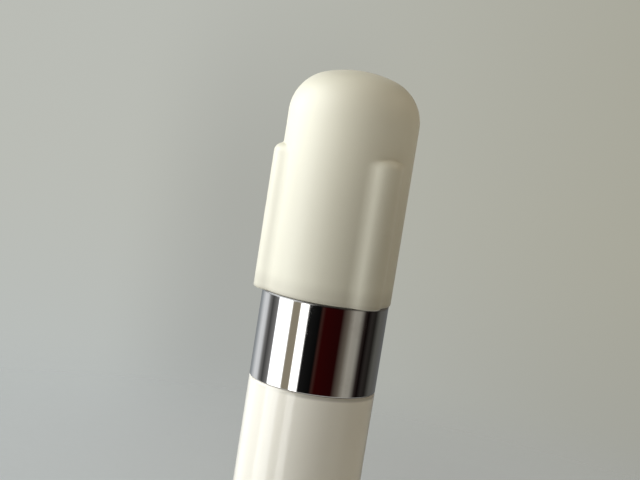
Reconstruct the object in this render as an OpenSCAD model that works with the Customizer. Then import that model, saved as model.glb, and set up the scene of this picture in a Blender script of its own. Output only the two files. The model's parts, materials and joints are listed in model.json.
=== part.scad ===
/* [Cap shell] */
// Length of the cap from its rim to the top of its crown
cap_len = 15.75; // [12:0.05:24]
// Wall of the moulded shell, the same all over
shell_wall = 0.59; // [0.4:0.01:1.5]
// Radius of the rounded shoulder where the side turns into the crown
dome_corner_r = 3.1; // [1.5:0.1:4]
// Radius of the shallow crown on top
dome_crown_r = 7.7; // [6:0.1:20]
// How far the shell stands out past the band, on each side
cap_proud = 0.09; // [0:0.01:0.4]
// Rounding of the shell's lower edge
rim_round = 0.3; // [0.05:0.01:0.35]

/* [Grip ribs] */
// Number of lengthwise ribs round the shell
rib_count = 3; // [2:1:8]
// Angle of the first rib from the X axis
rib_turn = 60; // [0:1:180]
// Length of a rib from the rim up
rib_len = 10.1; // [4:0.1:11.5]
// How far a rib's crest stands out from the shell
rib_height = 0.6; // [0.2:0.05:1]
// Radius of a rib's round back
rib_r = 1.45; // [1:0.05:2]
// Radius of the hollow that blends a rib into the shell
rib_blend = 0.8; // [0.3:0.05:1.2]
// Rounding of a rib's upper end, over its crest and both flanks
rib_round = 0.6; // [0.3:0.05:1]

/* [Cap inside] */
// Wall of the hard inner cup
liner_wall = 0.42; // [0.3:0.01:1]
// Height of the ring magnet
magnet_h = 2; // [1:0.1:4]
// Height of the mouth ring inside the shell
mouth_h = 0.5; // [0.3:0.05:1]
// Depth of the mouth ring's lip that centres the cap in the band
lip_h = 0.26; // [0.15:0.01:0.6]
// Slope at the mouth that leads the plug in
lead_in = 0.16; // [0.05:0.01:0.25]

/* [Band and barrel] */
// Height of the polished band
band_h = 6.2; // [5:0.1:10]
// Wall of the band
band_wall = 0.5; // [0.3:0.05:0.6]
// Rounding of the band's upper edge, under the cap's rim
band_round = 0.2; // [0.05:0.01:0.25]
// Bevel on the outer edges of the barrel, and rounding of the band's lower edge
edge_break = 0.1; // [0.03:0.01:0.2]
// Length of the barrel's end piece
barrel_len = 14; // [10:0.5:40]
// Wall of the barrel round its open socket
barrel_wall = 0.75; // [0.5:0.05:1]
// Length of the land inside the barrel that the core sits in
land_len = 7; // [5:0.5:9]
// How far the land stands in from the socket's wall
land_step = 0.4; // [0.3:0.05:0.6]
// Height of the core's floor under the plug's root
core_floor = 1.2; // [0.8:0.1:2]
// Thickness of the disc that closes the band round the plug
plate_t = 0.6; // [0.4:0.05:1]

/* [Charging plug] */
// Width of the tongue over its round edges
plug_w = 6.7; // [6:0.1:8]
// Thickness of the tongue
plug_t = 1.5; // [1.2:0.1:2]
// Length of the tongue above the band's rim
plug_len = 7.7; // [6.5:0.1:10]
// Rounding of the tongue's two outer corners
tip_round = 1.1; // [0.5:0.1:2]
// Bevel on the tongue's tip, front and back
tip_bevel = 0.3; // [0.1:0.05:0.45]
// Steel left in front of the contacts
tip_wall = 1.1; // [0.8:0.1:1.6]
// Steel left beside the contacts
frame_wall = 0.5; // [0.4:0.05:0.8]
// Number of contacts on each face
contact_count = 8; // [4:1:10]
// Length of a contact
contact_len = 3.4; // [2:0.1:4]
// Gap between contacts
contact_gap = 0.28; // [0.15:0.01:0.35]
// Thickness of a contact
contact_t = 0.12; // [0.05:0.01:0.25]
// Radius of the catch notch in each edge
notch_r = 0.6; // [0.3:0.05:0.9]
// Depth of the catch notch
notch_depth = 0.22; // [0.1:0.01:0.35]
// Height of the catch notch above the band's rim
notch_z = 2.1; // [1.2:0.1:2.6]
// How far the flange that holds the plug down stands out
flange_lip = 0.3; // [0.15:0.05:0.35]
// Thickness of the flange
flange_t = 0.6; // [0.3:0.05:1]
// Wall of the soft boot round the plug's root
boot_wall = 0.25; // [0.15:0.05:0.35]
// Width of the circuit board
board_w = 4.6; // [3:0.1:5.5]
// Thickness of the circuit board
board_t = 0.8; // [0.4:0.1:1.2]
// Length of the circuit board
board_len = 6.4; // [4:0.1:8]

/* [Fits] */
// Gap all round between pieces that are pressed or glued together
press_gap = 0.03; // [0.01:0.01:0.05]
// Gap all round between the cap's lip and the band
slide_gap = 0.06; // [0.03:0.01:0.1]
// Gap between the plug's edges and the round pocket in the cap
plug_gap = 0.15; // [0.1:0.01:0.4]

/* [Hidden] */
$fn = 96;

// Arcs that touch are moved this much into each other, so that they cross
slip = 0.003;
// Edges that would fall on one another are kept this far apart
apart = 0.03;
// Cuts run this far past the face they open
past = 1;

// Radii, worked out from the plug outwards
pocket_r = plug_w / 2 + plug_gap;
liner_r = pocket_r + liner_wall;
shell_bore_r = liner_r + press_gap;
cap_r = shell_bore_r + shell_wall;
barrel_r = cap_r - cap_proud;
band_bore_r = barrel_r - band_wall;
socket_r = barrel_r - barrel_wall;
land_r = socket_r - land_step;
lip_r = band_bore_r - slide_gap;

// Heights, from the barrel's open end up
z_band = barrel_len;
z_land = z_band - land_len;
z_rim = z_band + band_h;
z_plate = z_rim - lip_h - slide_gap - plate_t;
z_flange = z_plate - flange_t;
z_root = z_band + core_floor;
z_liner = mouth_h + magnet_h;

// Dome: a shallow crown arc and a shoulder arc that touch where both lean the same way
crown_z = cap_len - dome_crown_r;
corner_x = cap_r - dome_corner_r;
corner_z = crown_z + sqrt(pow(dome_crown_r - dome_corner_r, 2) - pow(corner_x, 2));
corner_lean = atan2(corner_x, corner_z - crown_z);

// Ribs: a round back, and on each side a hollow arc that touches both the back and the shell
rib_axis_r = cap_r + rib_height - rib_r;
blend_axis_r = cap_r + rib_blend;
blend_turn = acos((pow(blend_axis_r, 2) + pow(rib_axis_r, 2) - pow(rib_r + rib_blend, 2))
    / (2 * blend_axis_r * rib_axis_r));

// The hollows run out just below the rounding of the rib's end
blend_reach = norm([cap_r * cos(blend_turn) - rib_axis_r, cap_r * sin(blend_turn)]) + apart;
blend_end_r = blend_reach - rib_r + rib_round;
blend_len = rib_len - rib_round - 2 * apart - sqrt(pow(blend_end_r, 2) - pow(rib_round, 2)) + blend_end_r;

// Contacts share the window between the tongue's two side walls
window_w = plug_w - 2 * frame_wall;
contact_w = (window_w - (contact_count + 1) * contact_gap) / contact_count;
window_h = contact_len + 2 * contact_gap;
window_z = z_rim + plug_len - tip_wall - window_h;

// A strip with round ends, W long and T thick, H high
module strip(w, t, h) {
    linear_extrude(h) {
        square([w - t, t], center = true);
        for (side = [-1, 1])
            translate([side * (w - t) / 2, 0])
                circle(d = t);
    }
}

// A tube with bevelled outer edges
module tube(inner_r, outer_r, h, bevel) {
    rotate_extrude()
        polygon([
            [inner_r, 0],
            [outer_r - bevel, 0],
            [outer_r, bevel],
            [outer_r, h - bevel],
            [outer_r - bevel, h],
            [inner_r, h],
        ]);
}

// Takes the outer corner off a profile, as a quarter round at [x, z] that opens down or up
module corner_cut(x, z, r, up) {
    translate([x - r, z - up * r])
        difference() {
            translate([0, up > 0 ? 0 : -r - past])
                square(r + past);
            circle(r);
        }
}

// Half of the cap's outline, drawn in by the inset and starting at the foot
module dome_profile(inset, foot) {
    reach = 2 * dome_crown_r;
    difference() {
        intersection() {
            translate([0, foot])
                square([cap_r - inset, cap_len - inset - foot]);
            union() {
                translate([0, crown_z])
                    circle(dome_crown_r - inset);
                translate([0, foot])
                    square([cap_r, crown_z - foot]);
            }
        }
        difference() {
            translate([corner_x, corner_z])
                polygon(reach * [[0, 0], [1, 0], [1, 1], [sin(corner_lean), cos(corner_lean)]]);
            translate([corner_x + slip, corner_z + slip])
                circle(dome_corner_r - inset);
        }
    }
}

// The hollow blends on both sides of a rib, seen from above
module blend_outline() {
    for (side = [-1, 1]) {
        toward = [cos(blend_turn), side * sin(blend_turn)];
        difference() {
            polygon([[0, 0], [rib_axis_r, 0], blend_axis_r * toward]);
            translate((blend_axis_r - slip) * toward)
                circle(rib_blend);
        }
    }
}

// A round post with a rounded upper edge
module post(r, h, edge_r) {
    rotate_extrude()
        difference() {
            square([r, h]);
            corner_cut(r, 0, rim_round, -1);
            corner_cut(r, h, edge_r, 1);
        }
}

module rib() {
    translate([rib_axis_r, 0, 0])
        post(rib_r, rib_len, rib_round + apart);
    intersection() {
        translate([rib_axis_r, 0, 0])
            post(blend_reach, blend_len, blend_end_r);
        translate([0, 0, rim_round])
            linear_extrude(rib_len)
                blend_outline();
    }
}

module cap_shell() {
    color("ivory")
    translate([0, 0, z_rim])
    difference() {
        union() {
            rotate_extrude()
                difference() {
                    dome_profile(0, 0);
                    corner_cut(cap_r, 0, rim_round, -1);
                }
            for (i = [0 : rib_count - 1])
                rotate(rib_turn + 360 * i / rib_count)
                    rib();
        }
        rotate_extrude()
            dome_profile(shell_wall, -past);
    }
}

module cap_liner() {
    inset = shell_wall + press_gap;
    color("gainsboro")
    translate([0, 0, z_rim])
    difference() {
        rotate_extrude()
            dome_profile(inset, z_liner);
        rotate_extrude()
            dome_profile(inset + liner_wall, z_liner - past);
    }
}

module magnet_ring() {
    color("silver")
    translate([0, 0, z_rim + mouth_h])
    tube(pocket_r, liner_r, magnet_h, edge_break);
}

module mouth_ring() {
    color("white")
    translate([0, 0, z_rim])
    rotate_extrude()
        polygon([
            [pocket_r + lead_in, -lip_h],
            [lip_r - edge_break, -lip_h],
            [lip_r, edge_break - lip_h],
            [lip_r, 0],
            [liner_r, 0],
            [liner_r, mouth_h],
            [pocket_r, mouth_h],
            [pocket_r, lead_in - lip_h],
        ]);
}

module barrel() {
    color("white")
    difference() {
        tube(land_r, barrel_r, barrel_len, edge_break);
        translate([0, 0, -past])
            cylinder(r = socket_r, h = z_land + past);
    }
}

module band() {
    color("lightgray")
    translate([0, 0, z_band])
    rotate_extrude()
        difference() {
            translate([band_bore_r, 0])
                square([band_wall, band_h]);
            corner_cut(barrel_r, 0, edge_break, -1);
            corner_cut(barrel_r, band_h, band_round, 1);
        }
}

module end_plate() {
    color("whitesmoke")
    difference() {
        translate([0, 0, z_plate])
            cylinder(r = band_bore_r - press_gap, h = plate_t);
        translate([0, 0, z_plate - past])
            strip(plug_w + 2 * press_gap, plug_t + 2 * press_gap, plate_t + 2 * past);
    }
}

module tail_core() {
    flange_room = 2 * (flange_lip + press_gap);
    boot_room = 2 * (boot_wall + press_gap);
    color("lightslategray")
    difference() {
        union() {
            translate([0, 0, z_land])
                cylinder(r = land_r - press_gap, h = land_len);
            translate([0, 0, z_band])
                cylinder(r = band_bore_r - press_gap, h = z_plate - z_band);
        }
        translate([0, 0, z_flange])
            strip(plug_w + flange_room, plug_t + flange_room, flange_t + past);
        translate([0, 0, z_root])
            strip(plug_w + boot_room, plug_t + boot_room, z_flange - z_root + past);
        translate([-board_w / 2 - press_gap, -board_t / 2 - press_gap, z_land - past])
            cube([board_w + 2 * press_gap, board_t + 2 * press_gap, land_len + core_floor + 2 * past]);
    }
}

// Front view of the tongue with its two rounded outer corners
module tongue_outline() {
    top = z_rim + plug_len;
    difference() {
        translate([-plug_w, z_root])
            square([2 * plug_w, top - z_root]);
        for (side = [0, 1])
            mirror([side, 0])
                corner_cut(plug_w / 2, top, tip_round, 1);
    }
}

// Side view of the tongue with its bevelled tip
module tongue_side() {
    top = z_rim + plug_len;
    polygon([
        [-plug_t, z_root],
        [plug_t, z_root],
        [plug_t, top - tip_bevel - plug_t / 2],
        [plug_t / 2 - tip_bevel, top],
        [tip_bevel - plug_t / 2, top],
        [-plug_t, top - tip_bevel - plug_t / 2],
    ]);
}

module tongue() {
    intersection() {
        translate([0, 0, z_root])
            strip(plug_w, plug_t, z_rim + plug_len - z_root);
        rotate([90, 0, 0])
            linear_extrude(2 * plug_t, center = true)
                tongue_outline();
        rotate([90, 0, 90])
            linear_extrude(2 * plug_w, center = true)
                tongue_side();
    }
}

module plug_frame() {
    color("silver")
    difference() {
        union() {
            tongue();
            translate([0, 0, z_flange])
                strip(plug_w + 2 * flange_lip, plug_t + 2 * flange_lip, flange_t);
        }
        translate([-window_w / 2, -plug_t, window_z])
            cube([window_w, 2 * plug_t, window_h]);
        for (side = [-1, 1])
            translate([side * (plug_w / 2 + notch_r - notch_depth), 0, z_rim + notch_z])
                rotate([90, 0, 0])
                    cylinder(r = notch_r, h = 2 * plug_t, center = true);
    }
}

module plug_insert() {
    t = plug_t - 2 * contact_t;
    color("dimgray")
    translate([press_gap - window_w / 2, -t / 2, window_z])
    cube([window_w - 2 * press_gap, t, window_h - press_gap]);
}

module plug_contacts() {
    color("goldenrod")
    for (side = [0, 1])
        rotate(180 * side)
            for (i = [0 : contact_count - 1])
                translate([
                    contact_gap - window_w / 2 + i * (contact_w + contact_gap),
                    plug_t / 2 - contact_t,
                    window_z + contact_gap,
                ])
                    cube([contact_w, contact_t, contact_len]);
}

module plug_boot() {
    color("darkslategray")
    translate([0, 0, z_root])
    difference() {
        strip(plug_w + 2 * boot_wall, plug_t + 2 * boot_wall, z_flange - z_root);
        translate([0, 0, -past])
            strip(plug_w + 2 * press_gap, plug_t + 2 * press_gap, z_flange - z_root + 2 * past);
    }
}

module plug_board() {
    color("seagreen")
    translate([-board_w / 2, -board_t / 2, z_root - board_len])
    cube([board_w, board_t, board_len]);
}

cap_shell();
cap_liner();
magnet_ring();
mouth_ring();
barrel();
band();
end_plate();
tail_core();
plug_frame();
plug_insert();
plug_contacts();
plug_boot();
plug_board();
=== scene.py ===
import json
import math

import bmesh
import bpy
from mathutils import Matrix, Vector


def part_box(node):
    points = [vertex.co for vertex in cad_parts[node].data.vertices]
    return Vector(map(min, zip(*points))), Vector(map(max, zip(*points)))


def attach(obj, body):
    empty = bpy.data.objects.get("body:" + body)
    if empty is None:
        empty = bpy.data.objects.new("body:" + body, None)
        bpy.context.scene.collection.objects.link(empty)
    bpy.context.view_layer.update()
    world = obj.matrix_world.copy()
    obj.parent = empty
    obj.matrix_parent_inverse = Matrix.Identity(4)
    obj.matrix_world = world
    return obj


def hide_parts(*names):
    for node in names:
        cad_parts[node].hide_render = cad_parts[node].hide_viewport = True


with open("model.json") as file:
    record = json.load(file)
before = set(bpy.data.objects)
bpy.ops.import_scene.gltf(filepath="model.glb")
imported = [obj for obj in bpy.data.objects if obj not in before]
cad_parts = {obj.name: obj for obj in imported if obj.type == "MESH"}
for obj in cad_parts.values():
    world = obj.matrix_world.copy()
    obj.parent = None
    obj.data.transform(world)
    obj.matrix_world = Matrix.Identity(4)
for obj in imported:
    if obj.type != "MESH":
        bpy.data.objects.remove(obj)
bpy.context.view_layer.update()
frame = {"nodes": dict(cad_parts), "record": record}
MM = 0.001


def measure(node, corner, axis):
    """One measure of a solid's box, in millimetres."""
    return round(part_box(node)[corner][axis] / MM, 3)


def radius(node):
    """How far a solid reaches along X, where the cap has no rib."""
    return measure(node, 1, 0)


def foot(node):
    """Height of a solid's lowest point."""
    return measure(node, 0, 2)


def head(node):
    """Height of a solid's highest point."""
    return measure(node, 1, 2)


# Sizes that the solids' boxes and mounts give, in millimetres
BARREL_R = radius("barrel")
LAND_Z = foot("tail_core")
BAND_Z = head("barrel")
RIM_Z = head("band")
CAP_R = radius("cap_shell")
CAP_TOP = head("cap_shell")
LINER_R = radius("cap_liner")
MOUNTS = {mount["name"]: mount for mount in frame["record"]["mounts"]}
SOCKET_R = MOUNTS["barrel_socket"]["dims"]["r_mm"]

# Walls and gaps inside the solids, and the radii they lead to
PRESS_GAP = 0.03
SLIDE_GAP = 0.06
LINER_WALL = 0.42
LAND_STEP = 0.4
LEAD_IN = 0.16
EDGE_BREAK = 0.1
LAND_R = SOCKET_R - LAND_STEP
BAND_BORE_R = radius("tail_core") + PRESS_GAP
LIP_R = BAND_BORE_R - SLIDE_GAP
SHELL_BORE_R = LINER_R + PRESS_GAP
POCKET_R = LINER_R - LINER_WALL

# The dome's crown and shoulder arcs, and where they meet
CROWN_R = 7.7
SHOULDER_R = 3.1
CROWN_Z = CAP_TOP - CROWN_R
SHOULDER_X = CAP_R - SHOULDER_R
SHOULDER_RISE = math.sqrt((CROWN_R - SHOULDER_R) ** 2 - SHOULDER_X ** 2)
SHOULDER_Z = CROWN_Z + SHOULDER_RISE
LEAN = math.degrees(math.atan2(SHOULDER_X, SHOULDER_RISE))

# The ribs, and the height where their rounded ends start
RIB_TURNS = (60, 180, 300)
RIB_LEN = 10.1
RIB_HEIGHT = 0.6
RIB_R = 1.45
RIB_ROUND = 0.6
RIB_END = RIM_Z + RIB_LEN - RIB_ROUND

# Edges that are finished here in another way than in the solids
RIM_ROUND = 0.16
BAND_ROUND = 0.08
CUP_ROUND = 0.06
RIB_BLEND = 1.8
RIB_RUNOUT = 0.3
RUNOUT_UP = math.sqrt((RIB_ROUND + RIB_RUNOUT) ** 2 - RIB_RUNOUT ** 2)
RUNOUT_TURN = math.asin(RUNOUT_UP / (RIB_ROUND + RIB_RUNOUT))

# How finely the meshes are made: short steps and tolerances, parts of a curve, and bends of an edge
HOLD = 0.03
MERGE = 0.0005
SKIN = 0.001
TURN_STEPS = 192
CAP_STEPS = 288
RUNOUT_PARTS = 8
ROUND_PARTS = 10
SOFT_PARTS = 3
CREASE = math.radians(30)
SHARP = math.radians(25)
LEVEL = math.radians(1)

# Camera
PICTURE_W = 640
SENSOR = 36
FOCAL_PX = 1373
CENTRE_PX = (14.5, 2.2)
VIEW_TURN = math.radians(-9.4)
VIEW_TILT = math.radians(5.92)
VIEW_ROLL = math.radians(9.07)
VIEW_FAR = 95.4
VIEW_NEAR = 5
AIM_UP = 10


def direction(azimuth, elevation=0.0):
    """Direction from the object's axis, counted round from the camera's side."""
    a = VIEW_TURN + math.radians(azimuth)
    e = math.radians(elevation)
    return Vector((math.sin(a) * math.cos(e), -math.cos(a) * math.cos(e), math.sin(e)))


def make_camera():
    """The photo's view, with its lens, tilt and roll."""
    data = bpy.data.cameras.new("camera")
    data.sensor_width = SENSOR
    data.lens = SENSOR * FOCAL_PX / PICTURE_W
    data.shift_x = -CENTRE_PX[0] / PICTURE_W
    data.shift_y = CENTRE_PX[1] / PICTURE_W
    data.clip_start = VIEW_NEAR * MM
    back = direction(0, math.degrees(VIEW_TILT))
    right = direction(90)
    up = back.cross(right)
    across = math.cos(VIEW_ROLL) * right + math.sin(VIEW_ROLL) * up
    above = math.cos(VIEW_ROLL) * up - math.sin(VIEW_ROLL) * right
    aim = Vector((0, 0, (BAND_Z + AIM_UP) * MM))
    stand = Matrix.Translation(aim + back * VIEW_FAR * MM)
    camera = bpy.data.objects.new("camera", data)
    camera.matrix_world = stand @ Matrix((across, above, back)).transposed().to_4x4()
    bpy.context.scene.collection.objects.link(camera)
    bpy.context.scene.camera = camera


def rgba(shade):
    """A colour with its alpha, or any other value as it is."""
    return (*shade, 1.0) if isinstance(shade, tuple) and len(shade) == 3 else shade


class Wire:
    """A shader socket. Arithmetic on it adds Math nodes."""

    def __init__(self, shader, socket):
        self.shader = shader
        self.socket = socket

    def op(self, operation, other=0.0):
        return self.shader.node("Math", {"operation": operation}, {0: self, 1: other})

    def __add__(self, other):
        return self.op("ADD", other)

    __radd__ = __add__

    def __sub__(self, other):
        return self.op("SUBTRACT", other)

    def __rsub__(self, other):
        return self.shader.node("Math", {"operation": "SUBTRACT"}, {0: other, 1: self})

    def __mul__(self, other):
        return self.op("MULTIPLY", other)

    __rmul__ = __mul__

    def __truediv__(self, other):
        return self.op("DIVIDE", other)

    def __abs__(self):
        return self.op("ABSOLUTE")

    def between(self, low, high):
        """0 up to low, 1 from high, a soft step between them."""
        return self.shader.node(
            "MapRange", {"interpolation_type": "SMOOTHSTEP"},
            {"Value": self, "From Min": low, "From Max": high})


class Shader:
    """The node tree of a material or of the world."""

    def __init__(self, owner):
        owner.use_nodes = True
        self.tree = owner.node_tree
        self.tree.nodes.clear()

    def node(self, kind, settings=None, sockets=None, out=0):
        """A node with its settings, then the values or links of its sockets. Gives one of its outputs."""
        made = self.tree.nodes.new("ShaderNode" + kind)
        for key, value in (settings or {}).items():
            if key == "stops":
                for place, _ in value[2:]:
                    made.color_ramp.elements.new(place)
                for stop, (place, shade) in zip(made.color_ramp.elements, value):
                    stop.position = place
                    stop.color = rgba(shade)
            else:
                setattr(made, key, value)
        for key, value in (sockets or {}).items():
            if isinstance(value, Wire):
                self.tree.links.new(value.socket, made.inputs[key])
            else:
                made.inputs[key].default_value = value
        return Wire(self, made.outputs[out]) if made.outputs else None

    def millimetres(self):
        place = self.node("TexCoord", out="Object")
        return self.node("VectorMath", {"operation": "SCALE"}, {0: place, "Scale": 1 / MM})

    def stretched(self, place, x, y, z):
        return self.node("VectorMath", {"operation": "MULTIPLY"}, {0: place, 1: (x, y, z)})

    def turned(self, place, x, y, z):
        return self.node("Mapping", None, {
            "Vector": place, "Rotation": tuple(math.radians(a) for a in (x, y, z))})

    def off_axis(self, place):
        flat = self.stretched(place, 1, 1, 0)
        return self.node("VectorMath", {"operation": "LENGTH"}, {0: flat}, out="Value")

    def axis(self, place, index):
        return self.node("SeparateXYZ", None, {0: place}, out=index)

    def sideways(self, place):
        """How far a place lies to the right of the object's front."""
        return self.axis(self.turned(place, 0, 0, -math.degrees(VIEW_TURN)), 0)

    def noise(self, place, scale, detail=2.0, rough=0.5):
        return self.node("TexNoise", None, {
            "Vector": place, "Scale": scale, "Detail": detail, "Roughness": rough})

    def hairlines(self, place, width):
        """Thin lines where a drawn-out noise crosses its middle."""
        return 1 - abs(self.noise(place, 1, 1) - 0.5).between(0, width)

    def seam(self, place, z, reach):
        """Painted shade that gathers at a joint of height z and thins out over a reach."""
        return 1 - abs(self.axis(place, 2) - z).between(reach / 3, reach)

    def mix(self, factor, a, b):
        return self.node("Mix", {"data_type": "RGBA"}, {0: factor, 6: rgba(a), 7: rgba(b)}, out=2)

    def bump(self, height, depth):
        return self.node("Bump", None, {"Height": height, "Distance": depth * MM, "Strength": 1.0})

    def surface(self, **sockets):
        named = {key.replace("_", " "): rgba(value) for key, value in sockets.items()}
        skin = self.node("BsdfPrincipled", None, named)
        self.node("OutputMaterial", None, {"Surface": skin})


def material(name):
    made = bpy.data.materials.new(name)
    return made, Shader(made)


def satin_ivory():
    """The shell: a soft grain, flow marks along it, crests worn smoother, painted shade over its lower
    part and painted shade at the rim.
    """
    made, s = material("satin_ivory_plastic")
    shade_full_z, shade_end_z = RIM_Z + 5.8, RIM_Z + 12.8
    mm = s.millimetres()
    cloud = s.noise(mm, 0.14, 3)
    flow = s.noise(s.stretched(mm, 1.3, 1.3, 0.07), 1)
    grain = s.noise(mm, 8, 2, 0.6)
    crest = s.off_axis(mm).between(CAP_R + RIB_HEIGHT / 2, CAP_R + RIB_HEIGHT)
    # Painted shade: the lower part of the shell is darker, fading out upwards, where less light reaches.
    lower_shade = (1 - s.axis(mm, 2).between(shade_full_z, shade_end_z)) * (0.1 + cloud * 0.12)
    # Painted shade at the rim, where the joint with the band falls dark.
    rim = s.seam(mm, RIM_Z, 1.5) * (0.1 + cloud * 0.3) + s.seam(mm, RIM_Z, 0.4) * 0.2
    tone = s.mix(cloud * 0.6 + flow * 0.4, (0.742, 0.714, 0.580), (0.782, 0.754, 0.620))
    s.surface(
        Base_Color=s.mix(lower_shade + rim, tone, (0.42, 0.385, 0.31)),
        Roughness=0.36 + flow * 0.06 + grain * 0.05 - crest * 0.07, Normal=s.bump(grain, 0.004))
    return made


def gloss_white():
    """Barrel and end disc: a clear gloss with a slight wave, a few hairlines, painted shade at the joint
    with the band.
    """
    made, s = material("gloss_white_plastic")
    mm = s.millimetres()
    cloud = s.noise(mm, 0.12, 3)
    wave = s.noise(mm, 0.7, 1)
    scuff = s.hairlines(s.stretched(s.turned(mm, 20, 35, 0), 0.12, 2.2, 2.2), 0.008)
    scuff = scuff * s.noise(mm, 0.5).between(0.5, 0.65)
    # Painted shade at the joint under the band, deepest on the right side, away from the light.
    band_joint_shade = s.seam(mm, BAND_Z, 0.35) * (0.06 + s.sideways(mm).between(-2.8, -0.2) * 0.54)
    tone = s.mix(cloud, (0.895, 0.850, 0.745), (0.925, 0.880, 0.775))
    s.surface(
        Base_Color=s.mix(band_joint_shade, tone, (0.30, 0.27, 0.23)), Roughness=0.09 + cloud * 0.06 + scuff * 0.16,
        Normal=s.bump(wave, 0.0015))
    return made


def mirror_steel():
    """The band: a mirror polish with fine lines round it, faint smudges and painted shade on its upper
    edge under the cap's rim.
    """
    made, s = material("polished_steel")
    mm = s.millimetres()
    lines = s.noise(s.stretched(mm, 0.12, 0.12, 9), 1, 3)
    smudge = s.noise(mm, 0.6, 4, 0.6).between(0.5, 0.72)
    # Painted shade: the upper edge under the cap's rim is darkened, with a duller polish, where the groove
    # falls dark.
    groove_shade = s.seam(mm, RIM_Z, 0.2) * s.off_axis(mm).between(BARREL_R - 0.2, BARREL_R - 0.06)
    tone = s.mix(smudge * 0.6, (0.63, 0.62, 0.61), (0.57, 0.555, 0.535))
    s.surface(
        Base_Color=s.mix(groove_shade * 0.8, tone, (0.12, 0.115, 0.11)), Metallic=1.0,
        Roughness=0.025 + lines * 0.02 + smudge * 0.05 + groove_shade * 0.3,
        Normal=s.bump(lines, 0.0002))
    return made


def white_moulding():
    """Inner cup and mouth ring: a hard white moulding with a fine matt grain."""
    made, s = material("white_moulding")
    mm = s.millimetres()
    cloud = s.noise(mm, 0.3, 3)
    grain = s.noise(mm, 10, 2, 0.6)
    rub = s.hairlines(s.stretched(mm, 3, 3, 0.15), 0.01)
    tone = s.mix(cloud, (0.76, 0.76, 0.74), (0.82, 0.82, 0.80))
    s.surface(
        Base_Color=s.mix(rub * 0.2, tone, (0.6, 0.6, 0.58)), Roughness=0.42 + grain * 0.12,
        Normal=s.bump(grain, 0.005))
    return made


def nickel_plate():
    """The ring magnet: bright plating over a sintered, slightly pitted body."""
    made, s = material("nickel_plate")
    mm = s.millimetres()
    mottle = s.noise(mm, 1.4, 4, 0.6)
    pits = s.noise(mm, 7, 2).between(0.62, 0.74)
    tone = s.mix(mottle, (0.62, 0.60, 0.56), (0.72, 0.70, 0.66))
    s.surface(
        Base_Color=s.mix(pits * 0.5, tone, (0.45, 0.43, 0.40)), Metallic=1.0,
        Roughness=0.2 + mottle * 0.14 + pits * 0.15, Normal=s.bump(1 - pits, 0.008))
    return made


def glass_filled():
    """The core: grey moulding with short fibres of two lays showing at its surface."""
    made, s = material("glass_filled_moulding")
    mm = s.millimetres()
    cloud = s.noise(mm, 0.35, 3)
    fibre = s.hairlines(s.stretched(s.turned(mm, 0, 0, 25), 0.9, 5, 5), 0.03)
    crossing = s.hairlines(s.stretched(s.turned(mm, 30, 60, 0), 5, 0.9, 5), 0.03)
    fibre = fibre.op("MAXIMUM", crossing)
    tone = s.mix(cloud, (0.30, 0.32, 0.345), (0.36, 0.38, 0.405))
    s.surface(
        Base_Color=s.mix(fibre * 0.4, tone, (0.50, 0.52, 0.54)), Roughness=0.5 + cloud * 0.12,
        Normal=s.bump(fibre, 0.004))
    return made


def brushed_steel():
    """The plug's tongue: satin steel brushed along its length."""
    made, s = material("brushed_steel")
    mm = s.millimetres()
    brush = s.noise(s.stretched(mm, 11, 11, 0.3), 1, 4, 0.65)
    cloud = s.noise(mm, 0.5, 3)
    tone = s.mix(brush, (0.58, 0.575, 0.56), (0.70, 0.695, 0.68))
    s.surface(
        Base_Color=tone, Metallic=1.0, Roughness=0.2 + brush * 0.12 + cloud * 0.06,
        Normal=s.bump(brush, 0.0015))
    return made


def dark_moulding():
    """The plug's insert: near-black moulding with fine pale specks."""
    made, s = material("dark_moulding")
    mm = s.millimetres()
    speck = s.noise(mm, 13, 2).between(0.66, 0.76)
    cloud = s.noise(mm, 0.8, 3)
    tone = s.mix(cloud, (0.026, 0.026, 0.028), (0.042, 0.042, 0.045))
    s.surface(
        Base_Color=s.mix(speck * 0.4, tone, (0.16, 0.16, 0.16)), Roughness=0.4 + cloud * 0.14,
        Normal=s.bump(speck, 0.003))
    return made


def gold_plate():
    """The contacts: gold with the paler track that a socket's springs rub along each pad."""
    made, s = material("gold_plate")
    pad_count, pad_gap = 8, 0.28
    pad_pitch = (2 * radius("plug_contacts") + pad_gap) / pad_count
    mm = s.millimetres()
    pads = s.axis(mm, 0) / pad_pitch + 0.5
    across = pads.op("PINGPONG", 0.5)
    streak = s.noise(s.stretched(mm, 14, 14, 0.4), 1, 3)
    track = (1 - across.between(0.07, 0.16)) * streak.between(0.35, 0.6)
    cloud = s.noise(mm, 1.5, 3)
    tone = s.mix(cloud, (0.80, 0.55, 0.21), (0.88, 0.64, 0.29))
    s.surface(
        Base_Color=s.mix(track * 0.6, tone, (0.84, 0.72, 0.50)), Metallic=1.0,
        Roughness=0.16 + cloud * 0.08 + track * 0.16, Normal=s.bump(streak, 0.0008))
    return made


def dark_rubber():
    """The boot: matt elastomer with a faint bloom."""
    made, s = material("dark_rubber")
    mm = s.millimetres()
    grain = s.noise(mm, 6, 3, 0.6)
    bloom = s.noise(mm, 0.6, 3)
    tone = s.mix(bloom, (0.035, 0.039, 0.039), (0.062, 0.066, 0.066))
    s.surface(Base_Color=tone, Roughness=0.66 + grain * 0.16, Normal=s.bump(grain, 0.01))
    return made


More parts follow.
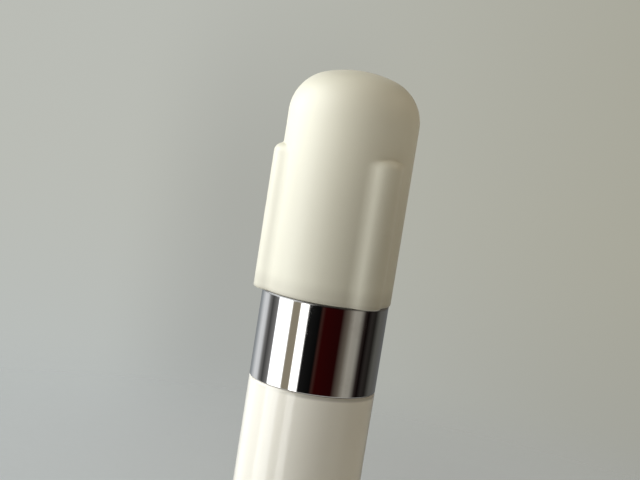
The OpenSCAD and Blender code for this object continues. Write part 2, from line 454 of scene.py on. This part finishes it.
def green_board():
    """The circuit board: green mask over copper tracks, bare laminate at its sawn end."""
    made, s = material("green_board")
    track_pitch, sawn_z = 0.55, foot("plug_board")
    mm = s.millimetres()
    lanes = s.axis(mm, 0) / track_pitch
    copper = 1 - lanes.op("PINGPONG", 0.5).between(0.16, 0.21)
    weave = s.noise(s.stretched(mm, 5, 9, 5), 1, 2)
    sawn = 1 - s.axis(mm, 2).between(sawn_z + 0.02, sawn_z + 0.1)
    tone = s.mix(copper, (0.012, 0.085, 0.038), (0.024, 0.15, 0.065))
    tone = s.mix(sawn, tone, s.mix(weave, (0.30, 0.27, 0.15), (0.42, 0.39, 0.24)))
    s.surface(
        Base_Color=tone, Roughness=0.28 + sawn * 0.4 + weave * 0.06, Normal=s.bump(copper, 0.012))
    return made


FINISHES = {
    "shell_plastic": satin_ivory(),
    "liner_plastic": white_moulding(),
    "plated_magnet": nickel_plate(),
    "barrel_plastic": gloss_white(),
    "polished_steel": mirror_steel(),
    "core_plastic": glass_filled(),
    "plug_steel": brushed_steel(),
    "insert_plastic": dark_moulding(),
    "gold_contact": gold_plate(),
    "soft_boot": dark_rubber(),
    "board_laminate": green_board(),
}


def finished(name, bm, body, node, slot):
    """A piece from a bmesh, smooth but for the edges that bend more than the crease."""
    bmesh.ops.remove_doubles(bm, verts=bm.verts, dist=MERGE * MM)
    bmesh.ops.recalc_face_normals(bm, faces=bm.faces)
    for face in bm.faces:
        face.smooth = True
    for edge in bm.edges:
        edge.smooth = edge.calc_face_angle(0) < CREASE
    mesh = bpy.data.meshes.new(name)
    bm.to_mesh(mesh)
    bm.free()
    mesh.materials.append(FINISHES[slot])
    piece = bpy.data.objects.new(name, mesh)
    bpy.context.scene.collection.objects.link(piece)
    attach(piece, body)
    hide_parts(node)


def softened(name, body, node, slot, edge):
    """A copy of a solid with its sharp edges rounded by a small radius."""
    bm = bmesh.new()
    bm.from_mesh(frame["nodes"][node].data)
    bmesh.ops.remove_doubles(bm, verts=bm.verts, dist=MERGE * MM)
    bmesh.ops.dissolve_limit(bm, angle_limit=LEVEL, verts=bm.verts, edges=bm.edges)
    sharp = [e for e in bm.edges if e.calc_face_angle(0) > SHARP]
    bmesh.ops.bevel(
        bm, geom=sharp, offset=edge * MM, affect="EDGES", segments=SOFT_PARTS, profile=0.5, material=-1,
        clamp_overlap=True)
    finished(name, bm, body, node, slot)


# Pieces that keep their solids' shape: piece, solid, slot, and the radius of its edges in millimetres
SOFTENED = (
    ("end_disc", "end_plate", "barrel_plastic", 0.06),
    ("plug_tongue", "plug_frame", "plug_steel", 0.05),
    ("plug_window", "plug_insert", "insert_plastic", 0.03),
    ("contact_pads", "plug_contacts", "gold_contact", 0.025),
    ("stepped_core", "tail_core", "core_plastic", 0.06),
    ("soft_sleeve", "plug_boot", "soft_boot", 0.08),
    ("circuit_board", "plug_board", "board_laminate", 0.025),
)


class Outline:
    """Half a section, drawn from point to point in the plane of the axis."""

    def __init__(self, r, z):
        self.bm = bmesh.new()
        self.end = self.bm.verts.new((r * MM, 0, z * MM))

    def line(self, r, z, parts=1):
        start = self.end.co.copy()
        goal = Vector((r * MM, 0, z * MM))
        for i in range(parts):
            grown = bmesh.ops.extrude_vert_indiv(self.bm, verts=[self.end])
            self.end = grown["verts"][0]
            self.end.co = start.lerp(goal, (i + 1) / parts)
        return self

    def flat(self, r, z, parts=1):
        """A line between two rounds, with a short step at each end that keeps it straight in the light."""
        start = self.end.co / MM
        step = (Vector((r, 0, z)) - start).normalized() * HOLD
        self.line(start.x + step.x, start.z + step.z)
        return self.line(r - step.x, z - step.z, parts).line(r, z)

    def arc(self, r, z, angle, parts):
        """Round the point r, z, by an angle that grows from the axis' top outwards."""
        made = bmesh.ops.spin(
            self.bm, geom=[self.end], cent=(r * MM, 0, z * MM), axis=(0, 1, 0),
            angle=math.radians(angle), steps=parts)
        self.end = [v for v in made["geom_last"] if isinstance(v, bmesh.types.BMVert)][0]
        return self

    def dome_down(self):
        """From the axis out over the crown and the shoulder."""
        return self.arc(0, CROWN_Z, LEAN, 10).arc(SHOULDER_X, SHOULDER_Z, 90 - LEAN, 24)

    def dome_up(self):
        """From an inner wall back to the axis, under the shoulder and the crown."""
        return self.arc(SHOULDER_X, SHOULDER_Z, LEAN - 90, 16).arc(0, CROWN_Z, -LEAN, 6)

    def spun(self, steps=TURN_STEPS):
        bmesh.ops.spin(
            self.bm, geom=self.bm.verts[:] + self.bm.edges[:], cent=(0, 0, 0), axis=(0, 0, 1),
            angle=2 * math.pi, steps=steps, use_merge=True)
        return self.bm


def rib_crest(over):
    """How far a rib's crest stands out of the shell, by the height over the start of its rounded end."""
    if over <= 0:
        return RIB_HEIGHT
    if over < RIB_ROUND * math.sin(RUNOUT_TURN):
        return RIB_HEIGHT - RIB_ROUND + math.sqrt(RIB_ROUND ** 2 - over ** 2)
    return RIB_RUNOUT - math.sqrt(RIB_RUNOUT ** 2 - (RUNOUT_UP - over) ** 2)


def rib_reach(turn, over):
    """How far a rib stands out of the shell, by the turn from its middle and the height over its end."""
    if over >= RUNOUT_UP:
        return 0
    back_r = RIB_R - RIB_HEIGHT + rib_crest(over)
    axis_r = CAP_R + RIB_HEIGHT - RIB_R
    blend_r = CAP_R + RIB_BLEND
    cosine = (blend_r ** 2 + axis_r ** 2 - (back_r + RIB_BLEND) ** 2) / (2 * blend_r * axis_r)
    blend_turn = math.acos(min(1, cosine))
    a = math.radians(abs(turn))
    if a >= blend_turn:
        return 0
    hollow = Vector((math.cos(blend_turn), math.sin(blend_turn))) * blend_r
    touch = Vector((axis_r, 0)).lerp(hollow, back_r / (back_r + RIB_BLEND))
    if a < math.atan2(touch.y, touch.x):
        reach = axis_r * math.cos(a) + math.sqrt(back_r ** 2 - (axis_r * math.sin(a)) ** 2)
    else:
        b = blend_turn - a
        reach = blend_r * math.cos(b) - math.sqrt(RIB_BLEND ** 2 - (blend_r * math.sin(b)) ** 2)
    return reach - CAP_R


def make_cap():
    """The shell: a spun section whose outer skin is drawn out where the ribs stand."""
    o = Outline(0, CAP_TOP).dome_down().line(CAP_R, RIB_END + RUNOUT_UP + HOLD, 6)
    for i in range(RUNOUT_PARTS + 1):
        o.line(CAP_R, RIB_END + RUNOUT_UP - RIB_RUNOUT * math.sin(RUNOUT_TURN * i / RUNOUT_PARTS))
    for i in range(1, ROUND_PARTS + 1):
        o.line(CAP_R, RIB_END + RIB_ROUND * math.sin(RUNOUT_TURN * (1 - i / ROUND_PARTS)))
    o.flat(CAP_R, RIM_Z + RIM_ROUND, 12).arc(CAP_R - RIM_ROUND, RIM_Z + RIM_ROUND, 90, 8)
    o.flat(SHELL_BORE_R, RIM_Z).flat(SHELL_BORE_R, SHOULDER_Z, 4)
    bm = o.dome_up().spun(CAP_STEPS)
    for v in bm.verts:
        r = math.hypot(v.co.x, v.co.y) / MM
        if r > CAP_R - RIM_ROUND - SKIN:
            turn = math.degrees(math.atan2(v.co.y, v.co.x))
            off = min(((turn - rib + 180) % 360 - 180 for rib in RIB_TURNS), key=abs)
            grown = 1 + rib_reach(off, v.co.z / MM - RIB_END) / r
            v.co.x *= grown
            v.co.y *= grown
    finished("cap_moulding", bm, "cap", "cap_shell", "shell_plastic")


def make_band():
    """The band: a broken lower corner and a fine round at its upper edge."""
    r, low, top = BARREL_R, EDGE_BREAK, BAND_ROUND
    o = Outline(BAND_BORE_R, BAND_Z).flat(r - low, BAND_Z).arc(r - low, BAND_Z + low, -90, 6)
    o.flat(r, RIM_Z - top, 4).arc(r - top, RIM_Z - top, -90, 10)
    o.flat(BAND_BORE_R, RIM_Z).flat(BAND_BORE_R, BAND_Z)
    finished("polished_band", o.spun(), "stylus_end", "band", "polished_steel")


def make_barrel():
    """The barrel: an open tube whose socket ends at the land that holds the core."""
    r, e = BARREL_R, EDGE_BREAK
    o = Outline(SOCKET_R, 0).flat(r - e, 0).arc(r - e, e, -90, 4)
    o.flat(r, BAND_Z - e, 6).arc(r - e, BAND_Z - e, -90, 4)
    o.line(LAND_R, BAND_Z).line(LAND_R, LAND_Z).line(SOCKET_R, LAND_Z).line(SOCKET_R, 0)
    finished("barrel_tube", o.spun(), "stylus_end", "barrel", "barrel_plastic")


def make_inner_cup():
    """The hard cup inside the shell, with the round pocket over the plug."""
    r, e, low = LINER_R, CUP_ROUND, foot("cap_liner")
    o = Outline(0, head("cap_liner")).dome_down().line(r, low + e, 4).arc(r - e, low + e, 90, 3)
    o.line(POCKET_R, low).line(POCKET_R, SHOULDER_Z, 4)
    finished("inner_cup", o.dome_up().spun(), "cap", "cap_liner", "liner_plastic")


def make_magnet():
    """The ring magnet, its outer corners broken."""
    r, e, low, top = LINER_R, EDGE_BREAK, foot("magnet_ring"), head("magnet_ring")
    o = Outline(POCKET_R, low).line(r - e, low).arc(r - e, low + e, -90, 4)
    o.line(r, top - e).arc(r - e, top - e, -90, 4).line(POCKET_R, top).line(POCKET_R, low)
    finished("ring_magnet", o.spun(), "cap", "magnet_ring", "plated_magnet")


def make_mouth_ring():
    """The ring under the magnet, with a lip below the rim and a lead-in for the plug."""
    e, low, top = EDGE_BREAK, foot("mouth_ring"), head("mouth_ring")
    o = Outline(POCKET_R + LEAD_IN, low).line(LIP_R - e, low).arc(LIP_R - e, low + e, -90, 4)
    o.line(LIP_R, RIM_Z).line(LINER_R, RIM_Z).line(LINER_R, top)
    o.line(POCKET_R, top).line(POCKET_R, low + LEAD_IN).line(POCKET_R + LEAD_IN, low)
    finished("mouth_collar", o.spun(), "cap", "mouth_ring", "liner_plastic")


# Studio light, by direction in degrees from the camera's side, left of it negative
LOW_STRIPES = (
    (-180, (0.15, 0.155, 0.16)), (-150, (0.38, 0.41, 0.43)), (-131, (0.92, 0.95, 0.98)),
    (-121, (0.84, 0.87, 0.90)), (-113, (0.25, 0.25, 0.25)), (-104, (0.08, 0.08, 0.08)),
    (-89, (0.28, 0.28, 0.28)), (-86.5, (3.40, 3.50, 3.60)), (-59.5, (3.40, 3.50, 3.60)),
    (-56, (0.36, 0.32, 0.24)), (-42, (0.36, 0.32, 0.24)), (-39.5, (3.60, 3.60, 3.55)),
    (-27.5, (3.60, 3.60, 3.55)), (-25, (0.012, 0.012, 0.012)), (-4, (0.004, 0.004, 0.004)),
    (0, (0.05, 0.02, 0.016)), (5, (0.03, 0.002, 0.002)), (35, (0.02, 0.002, 0.002)),
    (48, (0.15, 0.13, 0.105)), (59, (0.40, 0.38, 0.33)), (71, (0.37, 0.355, 0.31)),
    (82, (0.03, 0.022, 0.02)), (89, (0.004, 0.002, 0.002)), (99, (0.03, 0.026, 0.024)),
    (110, (0.018, 0.016, 0.014)), (126, (0.12, 0.12, 0.108)), (180, (0.15, 0.155, 0.16)),
)
MID_PANELS = (
    (-180, (0.25, 0.25, 0.25)), (-160, (0.60, 0.62, 0.62)), (-125, (0.60, 0.62, 0.62)),
    (-120, (3.60, 3.71, 3.85)), (-52, (3.08, 3.18, 3.30)), (-48, (0.81, 0.835, 0.835)),
    (-38, (0.77, 0.795, 0.795)), (-20, (0.015, 0.015, 0.015)), (40, (0.015, 0.015, 0.015)),
    (52, (0.28, 0.25, 0.20)), (150, (0.28, 0.25, 0.20)), (180, (0.25, 0.25, 0.25)),
)
HIGH_PANELS = (
    (-180, (0.04, 0.04, 0.04)), (-125, (0.04, 0.04, 0.04)), (-118, (3.55, 3.66, 3.66)),
    (-52, (3.10, 3.20, 3.20)), (-45, (0.28, 0.24, 0.19)), (60, (0.38, 0.35, 0.28)),
    (78, (1.30, 1.16, 0.92)), (128, (1.30, 1.16, 0.92)), (140, (0.09, 0.08, 0.06)),
    (180, (0.04, 0.04, 0.04)),
)

# The rings of light and the ceiling start at these heights, in degrees, each with a soft edge
LOW_RISE = -30
MID_RISE = -6
HIGH_RISE = 28
CEILING_RISE = 50
RING_SOFT = 1.5
CEILING = (0.34, 0.305, 0.255)

# Tones below the rings, left and right, and what gloss sees there; spans and rises are sines of angles
GROUND = ((2.38, 2.20, 1.95), (1.685, 1.56, 1.39))
GROUND_SPAN = (-0.7, 0.7)
GROUND_GLOSS = (0.50, 0.50, 0.47)

# The backdrop that only the camera sees, its left and right tones, and a soft shade on it
BACKDROP = ((0.494, 0.506, 0.466), (0.384, 0.377, 0.310))
BACKDROP_LOW = ((0.485, 0.513, 0.505), (0.346, 0.350, 0.318))
BACKDROP_SPAN = (-0.22, 0.32)
BACKDROP_RISE = (-0.30, -0.05)
SHADE = (0.2, 0.2, 0.2)
SHADE_DEPTH = 0.24
SHADE_PLACE = -0.05
SHADE_SPAN = (0.02, 0.11)
SHADE_RISE = (-0.10, 0.12)

# Floor: its left and right tones, lighter to the left as painted light, its sizes in millimetres, and how
# clear it is under the tube
FLOOR_LIT_TONES = ((0.66, 0.71, 0.74), (0.54, 0.565, 0.57))
FLOOR_SPAN = (-30, 15)
FLOOR_R = 90
FLOOR_STEPS = 128
FLOOR_DROP = 0.02
FLOOR_FADE = (22, 80)
TUBE_CLEAR = 0.3
TUBE_EDGE = (BARREL_R - 0.15, BARREL_R - 0.03)


def make_world():
    """Panels of light round the object, ground and ceiling, and a plain backdrop for the camera alone."""
    world = bpy.data.worlds.new("studio")
    bpy.context.scene.world = world
    s = Shader(world)
    way = s.node("TexCoord", out="Generated")
    x, y, z = (s.axis(way, i) for i in range(3))
    sine, cosine = math.sin(VIEW_TURN), math.cos(VIEW_TURN)
    ahead = x * sine - y * cosine
    aside = x * cosine + y * sine
    round_about = aside.op("ARCTAN2", ahead) / (2 * math.pi) + 0.5

    def ring(panels):
        return s.node("ValToRGB", {"stops": [(a / 360 + 0.5, c) for a, c in panels]}, {0: round_about})

    def above(degrees):
        return z.between(*(math.sin(math.radians(degrees + soft)) for soft in (-RING_SOFT, RING_SOFT)))

    def left_to_right(tones, span):
        return s.mix(aside.between(*span), *tones)

    gloss = s.node("LightPath", out="Is Glossy Ray")
    light = s.mix(gloss, left_to_right(GROUND, GROUND_SPAN), GROUND_GLOSS)
    light = s.mix(above(LOW_RISE), light, ring(LOW_STRIPES))
    light = s.mix(above(MID_RISE), light, ring(MID_PANELS))
    light = s.mix(above(HIGH_RISE), light, ring(HIGH_PANELS))
    light = s.mix(above(CEILING_RISE), light, CEILING)
    low, high = (left_to_right(tones, BACKDROP_SPAN) for tones in (BACKDROP_LOW, BACKDROP))
    plain = s.mix(z.between(*BACKDROP_RISE), low, high)
    shade = (1 - abs(aside - SHADE_PLACE).between(*SHADE_SPAN)) * (1 - z.between(*SHADE_RISE))
    plain = s.mix(shade * SHADE_DEPTH, plain, SHADE)
    seen = s.node("LightPath", out="Is Camera Ray")
    light = s.node("Background", None, {"Color": s.mix(seen, light, plain)})
    s.node("OutputWorld", None, {"Surface": light})


def pale_floor():
    """A matt floor that fades out all round and can't be seen from below."""
    made, s = material("pale_floor")
    mm = s.millimetres()
    behind = s.node("NewGeometry", out="Backfacing")
    speck = s.noise(mm, 1.2, 3)
    # Painted light: the floor is lighter to the left and darker to the right.
    tone = s.mix(s.sideways(mm).between(*FLOOR_SPAN), *FLOOR_LIT_TONES)
    skin = s.node("BsdfPrincipled", None, {
        "Base Color": s.mix(speck * 0.1, tone, (0.45, 0.46, 0.47)),
        "Roughness": 0.6, "Specular IOR Level": 0.1})
    clear = s.node("BsdfTransparent")
    reach = s.off_axis(mm)
    under = TUBE_CLEAR - TUBE_CLEAR * reach.between(*TUBE_EDGE)
    gone = behind.op("MAXIMUM", reach.between(*FLOOR_FADE) + under)
    skin = s.node("MixShader", None, {0: gone, 1: skin, 2: clear})
    s.node("OutputMaterial", None, {"Surface": skin})
    return made


def make_floor():
    """A round floor just under the object, which no gloss reflects."""
    bm = bmesh.new()
    bmesh.ops.create_circle(bm, cap_ends=True, radius=FLOOR_R * MM, segments=FLOOR_STEPS)
    bmesh.ops.translate(bm, verts=bm.verts, vec=(0, 0, -FLOOR_DROP * MM))
    mesh = bpy.data.meshes.new("floor")
    bm.to_mesh(mesh)
    bm.free()
    mesh.materials.append(pale_floor())
    floor = bpy.data.objects.new("floor", mesh)
    floor.visible_glossy = False
    bpy.context.scene.collection.objects.link(floor)


make_camera()
bpy.context.scene.view_settings.view_transform = "Standard"
make_cap()
make_inner_cup()
make_magnet()
make_mouth_ring()
make_barrel()
make_band()
for name, node, slot, edge in SOFTENED:
    softened(name, "stylus_end", node, slot, edge)
make_world()
make_floor()
